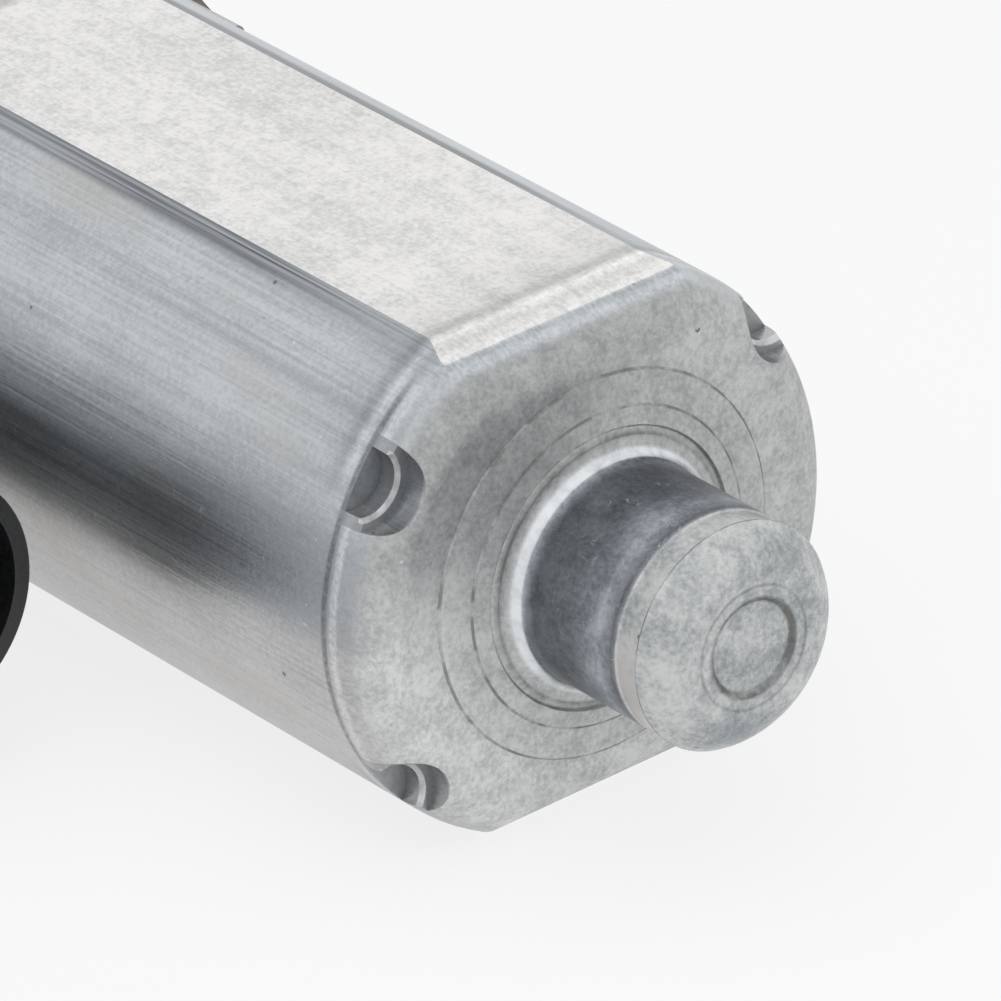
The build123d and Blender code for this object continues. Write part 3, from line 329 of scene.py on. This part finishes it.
    # painted highlight and shade bands along the neck
    halvedPaintedLight = [(at, tone / 2) for at, tone in inMm(v["neckHighlightsAndShade"])]  # doubled again below
    along = shade.ramp(-1.0 * deep, 0.0, 12.3 * mm, halvedPaintedLight)
    neck = shade.mix(1.0, neck, along, "MULTIPLY")
    neck = shade.mix(1.0, neck, (2.0, 2.0, 2.0), "MULTIPLY")
    colour = shade.mix(onNeck, colour, neck)
    # pale beige patches over the lower side of the waist
    lowerWaistPatches = (patch * 0.5 + blotch * 0.5).rise(0.44, 0.54, 0.05, 0.85) \
        * z.fall(-2 * mm, 6 * mm)
    colour = shade.mix(onWaist * lowerWaistPatches, colour, v["waist"])

    # painted shade: darker inside the four pockets at the end
    around = ((abs(across) - v["pocketY"]) ** 2.0 + (high - v["pocketZ"]) ** 2.0) ** 0.5
    inPocket = around.fall(v["pocketR"] - 0.03 * mm, v["pocketR"]) \
        * deep.band(0.6 * mm, v["pocketDeep"], 0.3 * mm)
    colour = shade.mix(inPocket * 0.6, colour, v["pocketShade"])
    # painted highlight: a bright ring round the edge of each pocket's seat
    pocketRimHighlight = around.band(v["pocketSeatR"], v["pocketSeatR"] + 0.3 * mm, 0.1 * mm) \
        * deep.line(v["pocketStep"], 0.35 * mm, 0.1 * mm)
    colour = shade.mix(pocketRimHighlight * blotch.rise(0.35, 0.65, 0.15, 0.6), colour, v["scratchAndHighlight"])

    # noise that breaks up the painted shade lines below and the stain round the collar
    shadeAndDirtNoise = shade.noise(380.0, 3.0, 0.6).rise(0.38, 0.62)
    # painted shade: dark lines in the step corners of the rings on the end face
    for ring in v["rings"]:
        mark = radius.line(ring, 0.05 * mm, 0.10 * mm) * onEnd
        colour = shade.mix(mark * shadeAndDirtNoise.rise(0.0, 1.0, 0.22, 0.70), colour, v["stain"])
    # painted shade: dark lines at the foot of the nub, at the creases of the neck and head, and
    # round the dimple and a ring on the tip
    paintedFootShade = deep.line(v["footDeep"], 0.1 * mm, 0.25 * mm) \
        * radius.line(v["footRadius"], 0.2 * mm, 0.3 * mm)
    paintedCreaseShade = deep.line(v["headCrease"], 0.06 * mm, 0.10 * mm) \
        + deep.line(v["neckCrease"], 0.08 * mm, 0.2 * mm) * 0.6
    onTip = deep.fall(*v["tip"])
    paintedDentShade = radius.line(v["dimple"], 0.12 * mm, 0.3 * mm) * onTip \
        + radius.line(v["tipRing"], 0.05 * mm, 0.15 * mm) * onTip * 0.5
    colour = shade.mix((paintedFootShade + paintedCreaseShade + paintedDentShade) * shadeAndDirtNoise.rise(0.0, 1.0, 0.45, 0.8), colour, v["stain"])

    # darker along the bead, and brown stained round the collar by the flange
    beadGap = ((across - v["beadY"]) ** 2.0 + (z - v["beadZ"]) ** 2.0) ** 0.5
    onBead = beadGap.fall(v["beadR"], 1.5 * mm) * x.fall(v["beadEnd"], v["beadEnd"] + 0.6 * mm)
    collar = x.fall(v["flangeX"] + 2.2 * mm, v["flangeX"] + 3.4 * mm) * (1.0 - onFlat * 0.6)
    beadDarkAndCollarStain = (onBead * 0.35 + collar * 0.8) * cloud.rise(0.30, 0.5, 0.7, 1.0)
    colour = shade.mix(beadDarkAndCollarStain, colour, shade.mix(shadeAndDirtNoise, v["stain"], v["rust"]))

    pit = shade.dots(190.0, 0.030, 0.055) * blotch.rise(0.50, 0.53)
    speck = shade.dots(330.0, 0.030, 0.055) * blotch.fall(0.42, 0.45)
    colour = shade.mix(pit * 0.8, colour, v["stain"])
    colour = shade.mix(speck * 0.5, colour, v["scratchAndHighlight"])
    inDark = onNeck + (1.0 - onFlat) * z.band(-2 * mm, 10 * mm, 3 * mm) * deep.rise(4 * mm, 6 * mm)
    colour = shade.mix(shade.scratches(620.0, 4.0) * inDark * 0.5, colour, v["scratchAndHighlight"])
    colour = shade.mix(shade.scratches(260.0, 12.0, 0.003) * onFlat * 0.5, colour, v["flatDark"])

    rough = streak.rise(0.25, 0.75, 0.26, 0.42) + (onEnd * 0.14) - (inPocket * 0.08)
    height = streak * (1.0 - onEnd) * 0.5 + mottle * 0.7 - pit * 0.5
    return shade.surface(Base_Color=colour, Metallic=0.88, Roughness=rough,
                         Normal=shade.bump(height, 0.5, 0.1 * mm))


dress(canFinish(can), "motor_can")
print("can finish done")


# moulded pieces: a fine spark-eroded skin, flow clouding, dull rubbed corners and a little dust
def mouldedFinish(name, v):
    shade = Shade(name)
    nz = shade.axis(shade.facing, "Z")
    skin = shade.noise(v["skinScale"], 3.0, 0.65)
    flow = shade.noise(60.0, 5.0, 0.6, distort=0.8)
    smear = shade.noise(220.0, 4.0, 0.65, shade.scaled((1.0, 0.5, 0.8), 3.0))
    colour = shade.mix((flow * 0.6 + skin * 0.4).rise(0.36, 0.64), v["deep"], v["light"])
    corner = shade.edges(v["edgeWidth"]) * smear.rise(0.35, 0.6, 0.35, 1.0)
    colour = shade.mix(corner * v["edgeShare"], colour, v["edge"])
    dust = nz.rise(0.5, 0.95) * smear.rise(0.50, 0.72)
    colour = shade.mix(dust * v["dustShare"], colour, v["dust"])
    colour = shade.mix(shade.scratches(170.0, 5.0, 0.004) * v["scratchShare"], colour, v["edge"])
    rough = skin.rise(0.25, 0.75, *v["gloss"]) + smear.rise(0.4, 0.7, -0.04, 0.07)
    height = skin * 0.7 + smear * 0.3
    return shade.surface(Base_Color=colour, Roughness=rough, Specular_IOR_Level=v["shine"],
                         Normal=shade.bump(height, v["skin"], v["skinDepth"] * mm))


housing = {"deep": (0.012, 0.0125, 0.0135), "light": (0.028, 0.029, 0.031),
           "edge": (0.085, 0.087, 0.09), "dust": (0.15, 0.145, 0.135),
           "edgeWidth": 0.35 * mm, "edgeShare": 0.55, "dustShare": 0.16,
           "scratchShare": 0.35, "skinScale": 2600.0, "skin": 0.55, "skinDepth": 0.05,
           "gloss": (0.40, 0.56), "shine": 0.5}
dress(mouldedFinish("mouldedHousing", housing), "gear_housing")

shroud = dict(housing, deep=(0.009, 0.0095, 0.010), light=(0.020, 0.021, 0.023),
              edge=(0.055, 0.056, 0.058), edgeWidth=0.30 * mm, dustShare=0.06,
              skinScale=1500.0, skin=0.25, gloss=(0.24, 0.38))
dress(mouldedFinish("mouldedShroud", shroud), "connector_shell")

card = {"deep": (0.10, 0.072, 0.048), "light": (0.19, 0.14, 0.095), "edge": (0.30, 0.23, 0.16),
        "dust": (0.03, 0.03, 0.03), "edgeWidth": 0.25 * mm, "edgeShare": 0.5, "dustShare": 0.55,
        "scratchShare": 0.25, "skinScale": 1800.0, "skin": 0.5, "skinDepth": 0.05,
        "gloss": (0.42, 0.60), "shine": 0.4}
dress(mouldedFinish("pressedCard", card), "brush_card", "commutator_sleeve")

wheel = {"deep": (0.62, 0.56, 0.43), "light": (0.78, 0.745, 0.65), "edge": (0.86, 0.84, 0.77),
         "dust": (0.50, 0.33, 0.12), "edgeWidth": 0.30 * mm, "edgeShare": 0.45, "dustShare": 0.35,
         "scratchShare": 0.2, "skinScale": 1300.0, "skin": 0.3, "skinDepth": 0.05,
         "gloss": (0.30, 0.46), "shine": 0.5}
dress(mouldedFinish("mouldedWheel", wheel), "worm_wheel", "oil_slinger", "rear_thrust_disc")

dipped = {"deep": (0.50, 0.16, 0.025), "light": (0.72, 0.28, 0.05), "edge": (0.84, 0.42, 0.12),
          "dust": (0.25, 0.12, 0.05), "edgeWidth": 0.5 * mm, "edgeShare": 0.5, "dustShare": 0.3,
          "scratchShare": 0.2, "skinScale": 500.0, "skin": 0.35, "skinDepth": 0.15,
          "gloss": (0.16, 0.28), "shine": 0.6}
dress(mouldedFinish("dippedResin", dipped), "capacitor")
print("moulded finishes done")


# rubber and gasket sheet: dull, with a pale bloom and pressed-in fibres
def rubberFinish(name, v):
    shade = Shade(name)
    bloom = shade.noise(140.0, 5.0, 0.65)
    speckle = shade.noise(v["speckle"], 3.0, 0.7)
    fibre = shade.noise(1.0, 2.0, 0.6, shade.scaled((700.0, 2600.0, 1800.0), 4.0))
    colour = shade.mix((speckle * 0.5 + fibre * 0.5).rise(0.36, 0.64), v["deep"], v["light"])
    colour = shade.mix(bloom.rise(0.48, 0.74) * v["bloomShare"], colour, v["bloom"])
    colour = shade.mix(shade.edges(0.25 * mm) * 0.45, colour, v["bloom"])
    rough = (speckle * 0.5 + bloom * 0.5).rise(0.3, 0.7, *v["gloss"])
    return shade.surface(Base_Color=colour, Roughness=rough, Specular_IOR_Level=0.35,
                         Normal=shade.bump(speckle * 0.6 + fibre * 0.4, 0.5, 0.06 * mm))


seal = {"deep": (0.010, 0.010, 0.011), "light": (0.024, 0.024, 0.026), "bloom": (0.09, 0.09, 0.088),
        "bloomShare": 0.5, "speckle": 1600.0, "gloss": (0.55, 0.75)}
dress(rubberFinish("sealRubber", seal), "output_seal", "damper")

gasket = {"deep": (0.055, 0.06, 0.065), "light": (0.12, 0.13, 0.14), "bloom": (0.24, 0.25, 0.25),
          "bloomShare": 0.4, "speckle": 2400.0, "gloss": (0.65, 0.85)}
dress(rubberFinish("gasketSheet", gasket), "cover_gasket", "can_gasket", "connector_gasket")
print("rubber finishes done")


# bare and plated metal: rolled, cast, drawn or turned, with stains, scratches and bright corners
def metalFinish(name, v):
    shade = Shade(name)
    grain = shade.noise(v["grain"], 4.0, 0.7)
    cloud = shade.noise(v.get("cloud", 110.0), 4.0, 0.6)
    if v["made"] == "rolled":
        marks = shade.noise(1.0, 3.0, 0.6, shade.scaled(v["along"]))
    elif v["made"] == "cast":
        marks = shade.noise(v["grain"] * 0.35, 5.0, 0.7)
    else:  # turned about the motor's axis or the output axis
        marks = shade.latheLines(v["made"], v.get("pitch", 5200.0))
    tone = marks * v["markShare"] + grain * (0.75 - v["markShare"]) + cloud * 0.25
    colour = shade.mix(tone.rise(0.38, 0.62), v["deep"], v["light"])
    stainAt = shade.noise(190.0, 5.0, 0.65, shade.scaled((1.0, 1.0, 1.0), 6.0), 0.5)
    colour = shade.mix(stainAt.rise(0.52, 0.72) * v["stainShare"], colour, v["stain"])
    colour = shade.mix(shade.scratches(300.0, 3.0, 0.004) * 0.5, colour, v["edge"])
    bright = shade.edges(v["edgeWidth"]) * cloud.rise(0.35, 0.6, 0.4, 1.0)
    colour = shade.mix(bright * 0.7, colour, v["edge"])
    rough = tone.rise(0.3, 0.7, *v["gloss"]) + stainAt.rise(0.5, 0.75, 0.0, 0.12)
    height = marks * v["markShare"] + grain * (1.0 - v["markShare"])
    return shade.surface(Base_Color=colour, Metallic=v["metal"], Roughness=rough,
                         Normal=shade.bump(height, 0.45, v["depth"] * mm))


cover = {"made": "rolled", "along": (260.0, 3200.0, 3200.0), "grain": 1900.0, "markShare": 0.35,
         "deep": (0.36, 0.375, 0.385), "light": (0.58, 0.59, 0.59), "edge": (0.76, 0.76, 0.75),
         "stain": (0.24, 0.25, 0.25), "stainShare": 0.6, "edgeWidth": 0.30 * mm,
         "gloss": (0.30, 0.46), "metal": 0.9, "depth": 0.06, "cloud": 70.0}
dress(metalFinish("platedCover", cover), "cover_plate")

sleeve = dict(cover, along=(1800.0, 1800.0, 240.0), deep=(0.40, 0.40, 0.39),
              light=(0.62, 0.62, 0.60), stain=(0.30, 0.26, 0.19), gloss=(0.24, 0.38))
dress(metalFinish("platedSleeve", sleeve), "mounting_sleeves")

screw = dict(cover, made="cast", grain=2600.0, deep=(0.34, 0.35, 0.36), light=(0.60, 0.61, 0.62),
             edge=(0.82, 0.82, 0.82), stain=(0.12, 0.12, 0.12), stainShare=0.7,
             edgeWidth=0.20 * mm)
dress(metalFinish("platedScrew", screw), "cover_screws", "can_screws", "connector_screws",
      "thrust_screw")

driver = {"made": "cast", "grain": 1500.0, "markShare": 0.45, "deep": (0.20, 0.205, 0.21),
          "light": (0.40, 0.405, 0.41), "edge": (0.70, 0.70, 0.69), "stain": (0.10, 0.095, 0.085),
          "stainShare": 0.55, "edgeWidth": 0.40 * mm, "gloss": (0.36, 0.56),
          "metal": 0.85, "depth": 0.09}
dress(metalFinish("castDriver", driver), "output_driver")

ground = {"made": "motor", "grain": 2800.0, "markShare": 0.55, "deep": (0.42, 0.43, 0.44),
          "light": (0.64, 0.65, 0.66), "edge": (0.82, 0.82, 0.82), "stain": (0.34, 0.27, 0.17),
          "stainShare": 0.35, "edgeWidth": 0.20 * mm, "gloss": (0.16, 0.28),
          "metal": 1.0, "depth": 0.03}
dress(metalFinish("groundShaft", ground), "armature_shaft", "thrust_ball")

pin = dict(ground, made="output")
dress(metalFinish("groundPin", pin), "axle_pin", "thrust_washer")

spring = dict(ground, made="cast", grain=3000.0, deep=(0.26, 0.27, 0.29), light=(0.50, 0.51, 0.53),
              stain=(0.16, 0.15, 0.17), stainShare=0.5, gloss=(0.24, 0.36), depth=0.03)
dress(metalFinish("springSteel", spring), "magnet_springs", "bearing_retainer", "retaining_ring",
      "brush_spring_upper", "brush_spring_lower", "thermal_breaker")

brass = dict(cover, along=(300.0, 2600.0, 2600.0), deep=(0.46, 0.32, 0.12),
             light=(0.74, 0.56, 0.26), edge=(0.88, 0.74, 0.44), stain=(0.25, 0.15, 0.07),
             stainShare=0.55, edgeWidth=0.18 * mm,
             gloss=(0.22, 0.36), metal=1.0)
dress(metalFinish("stampedBrass", brass), "brush_holder_upper", "brush_holder_lower",
      "connector_blades")

bronze = dict(ground, grain=2200.0, markShare=0.3, deep=(0.20, 0.12, 0.05),
              light=(0.46, 0.31, 0.16), edge=(0.66, 0.48, 0.28), stain=(0.09, 0.06, 0.03),
              stainShare=0.7, gloss=(0.30, 0.46), depth=0.06)
dress(metalFinish("sinteredBronze", bronze), "rear_bearing", "mid_bearing", "tail_bearing")

ferrite = {"made": "motor", "pitch": 1600.0, "grain": 2600.0, "markShare": 0.3,
           "deep": (0.035, 0.035, 0.038), "light": (0.085, 0.085, 0.09),
           "edge": (0.18, 0.18, 0.185),
           "stain": (0.025, 0.024, 0.022), "stainShare": 0.5, "edgeWidth": 0.4 * mm,
           "gloss": (0.42, 0.62), "metal": 0.15, "depth": 0.08}
dress(metalFinish("groundFerrite", ferrite), "magnet_far", "magnet_near", "choke_cores")

carbon = dict(ferrite, made="cast", grain=3200.0, deep=(0.02, 0.02, 0.021),
              light=(0.06, 0.058, 0.055),
              edge=(0.14, 0.13, 0.12), edgeWidth=0.2 * mm, gloss=(0.48, 0.66), metal=0.25)
dress(metalFinish("pressedCarbon", carbon), "brush_upper", "brush_lower")
print("metal finishes done")

# the coils behind the brushes are drawn again as copies of the CAD springs, hung on the housing;
# the real coils shorten as a brush moves back, which these copies don't do
coils = {"shortest": 0.59, "seats": {"upper": 16.83 * mm, "lower": -16.83 * mm}}


def makeCoil(side):
    cad = nodes["brush_spring_" + side]
    coil = bpy.data.objects.new("brush_coil_" + side, cad.data.copy())
    bpy.context.scene.collection.objects.link(coil)
    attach(coil, "housing")
    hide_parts(cad.name)
    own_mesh(coil)


for side, seatZ in coils["seats"].items():
    makeCoil(side)
print("brush coils done")

# the commutator's bars: rings worn by the brushes, darker between them
bars = {"bright": (0.80, 0.42, 0.25), "worn": (0.34, 0.15, 0.08), "dark": (0.10, 0.06, 0.045),
        "middleX": sum(corner[0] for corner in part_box("commutator")) / 2, "track": 2.8 * mm}


def barFinish(v):
    shade = Shade("commutatorBars")
    x = shade.axis(shade.place, "X")
    rings = shade.latheLines("motor", 6500.0)
    cloud = shade.noise(260.0, 4.0, 0.6)
    colour = shade.mix(rings.rise(0.35, 0.65), v["worn"], v["bright"])
    track = x.line(v["middleX"], v["track"], 0.3 * mm)
    colour = shade.mix(track * cloud.rise(0.35, 0.65, 0.25, 0.7), colour, v["dark"])
    rough = rings.rise(0.3, 0.7, 0.18, 0.34)
    return shade.surface(Base_Color=colour, Metallic=1.0, Roughness=rough,
                         Normal=shade.bump(rings, 0.4, 0.04 * mm))


dress(barFinish(bars), "commutator")

# the core: stacked sheets with dark insulation between them
sheets = {"light": (0.42, 0.43, 0.45), "deep": (0.20, 0.205, 0.22), "gapInsulationAndShade": (0.06, 0.055, 0.05),
          "rust": (0.26, 0.13, 0.06), "pitch": 0.5 * mm}


def sheetFinish(v):
    shade = Shade("stackedSheets")
    x = shade.axis(shade.place, "X")
    phase = (x / v["pitch"]).math("FRACT")
    seam = phase.line(0.5, 0.06, 0.10)
    grain = shade.noise(2000.0, 4.0, 0.7)
    cloud = shade.noise(150.0, 5.0, 0.65)
    colour = shade.mix((grain * 0.6 + cloud * 0.4).rise(0.36, 0.62), v["deep"], v["light"])
    colour = shade.mix(cloud.rise(0.56, 0.74) * 0.5, colour, v["rust"])
    colour = shade.mix(seam * 0.8, colour, v["gapInsulationAndShade"])
    rough = grain.rise(0.3, 0.7, 0.34, 0.52)
    return shade.surface(Base_Color=colour, Metallic=0.85, Roughness=rough,
                         Normal=shade.bump(grain * 0.3 - seam, 0.5, 0.08 * mm))


dress(sheetFinish(sheets), "lamination_stack")

# enamelled copper wire, lying side by side round the armature and round the chokes
wire = {"light": (0.62, 0.23, 0.08), "deep": (0.26, 0.07, 0.025), "gapInsulationAndShade": (0.05, 0.018, 0.01),
        "thick": 0.75 * mm}


def wireFinish(name, v, turns):
    shade = Shade(name)
    x = shade.axis(shade.place, "X")
    wander = shade.noise(180.0, 2.0, 0.5) * 0.6 * mm
    if turns == "round":
        count = (shade.radius("motor") + x * 0.6 + wander) / v["thick"]
    else:
        count = (x + wander * 0.3) / v["thick"]
    phase = abs(count.math("FRACT") - 0.5) * 2.0  # zero on the crown of a wire, one between two
    tone = shade.noise(420.0, 4.0, 0.6)
    colour = shade.mix(tone.rise(0.35, 0.65), v["deep"], v["light"])
    # painted shade in the grooves between neighbouring wires
    colour = shade.mix(phase.rise(0.72, 0.98) * 0.85, colour, v["gapInsulationAndShade"])
    crown = (1.0 - phase * phase) ** 0.5
    rough = tone.rise(0.3, 0.7, 0.22, 0.36)
    return shade.surface(Base_Color=colour, Metallic=0.65, Roughness=rough,
                         Coat_Weight=0.5, Coat_Roughness=0.12,
                         Normal=shade.bump(crown, 0.8, 0.25 * mm))


dress(wireFinish("armatureWire", wire, "round"), "armature_windings")
chokeWire = dict(wire, thick=0.7 * mm)
dress(wireFinish("chokeWire", chokeWire, "along"), "choke_windings")
print("winding finishes done")

# floor, world and lamps
studio = {"floorZ": -19.9 * mm, "floorSize": 4.0, "floorColour": (0.86, 0.86, 0.86),
          "whiteShare": 0.8, "skyColour": (0.93, 0.96, 1.0), "skyStrength": 0.35}
white = {"Color": (1.0, 1.0, 1.0, 1.0), "Strength": 1.0}


def whiteRays(shade):
    path = shade.tree.nodes.new("ShaderNodeLightPath")
    seen = Wire(shade, path.outputs["Is Camera Ray"])
    for name in ("Is Glossy Ray", "Is Transmission Ray"):
        seen = seen.math("MAXIMUM", Wire(shade, path.outputs[name]))
    return seen


def makeFloor(values):
    bpy.ops.mesh.primitive_plane_add(size=values["floorSize"],
                                     location=(0.0, 0.0, values["floorZ"]))
    floor = bpy.context.object
    floor.name = "floor"
    shade = Shade("paleFloor")
    plain = shade.node("ShaderNodeBsdfDiffuse", None, {"Color": (*values["floorColour"], 1.0)})
    bright = shade.node("ShaderNodeEmission", None, white)
    both = shade.node("ShaderNodeMixShader", None,
                      {0: whiteRays(shade) * values["whiteShare"], 1: plain, 2: bright})
    output = shade.tree.nodes.new("ShaderNodeOutputMaterial")
    shade.tree.links.new(both.socket, output.inputs["Surface"])
    floor.data.materials.append(shade.material)


makeFloor(studio)

world = bpy.data.worlds.new("studio")
bpy.context.scene.world = world
world.use_nodes = True


class SkyShade(Shade):  # the world's own node tree, with no place or facing
    def __init__(self, tree):
        self.tree = tree
        self.tree.nodes.clear()


sky = SkyShade(world.node_tree)
soft = sky.node("ShaderNodeBackground", None,
                {"Color": (*studio["skyColour"], 1.0), "Strength": studio["skyStrength"]})
bright = sky.node("ShaderNodeBackground", None, white)
both = sky.node("ShaderNodeMixShader", None, {0: whiteRays(sky), 1: soft, 2: bright})
worldOut = sky.tree.nodes.new("ShaderNodeOutputWorld")
sky.tree.links.new(both.socket, worldOut.inputs["Surface"])

lamps = {
    "keyAbove": {"place": (0.15, -0.10, 0.80), "aim": (0.07, 0.03, 0.0), "size": 1.2, "power": 5.0},
    "fillFront": {"place": (0.75, 0.25, 0.35), "aim": (0.09, 0.03, 0.0), "size": 0.9, "power": 2.0},
}


def makeLamp(name, values):
    light = bpy.data.lights.new(name, "AREA")
    light.size = values["size"]
    light.energy = values["power"]
    lamp = bpy.data.objects.new(name, light)
    bpy.context.scene.collection.objects.link(lamp)
    lamp.location = values["place"]
    lamp.visible_glossy = False  # polished metal mirrors the white studio, not the lamps
    towards = Vector(values["aim"]) - lamp.location
    lamp.rotation_euler = towards.to_track_quat("-Z", "Y").to_euler()


for name, values in lamps.items():
    makeLamp(name, values)
print("studio done")

camera = {"place": (0.73830, -0.43929, 0.44136), "aim": (0.10479, 0.02739, 0.00443),
          "roll": -4.36, "lens": 449.8, "sensor": 36.0, "clipStart": 0.05, "clipEnd": 20.0}


def makeCamera(values):
    made = bpy.data.objects.new("camera", bpy.data.cameras.new("camera"))
    bpy.context.scene.collection.objects.link(made)
    made.data.lens = values["lens"]
    made.data.sensor_width = values["sensor"]
    made.location = values["place"]
    back = (Vector(values["place"]) - Vector(values["aim"])).normalized()
    level = back.to_track_quat("Z", "Y").to_matrix()
    turned = Matrix.Rotation(math.radians(values["roll"]), 3, back) @ level
    made.rotation_mode = "QUATERNION"
    made.rotation_quaternion = turned.to_quaternion()
    made.data.clip_start = values["clipStart"]
    made.data.clip_end = values["clipEnd"]
    bpy.context.scene.camera = made


makeCamera(camera)
bpy.context.scene.view_settings.view_transform = "Standard"
print("camera done")
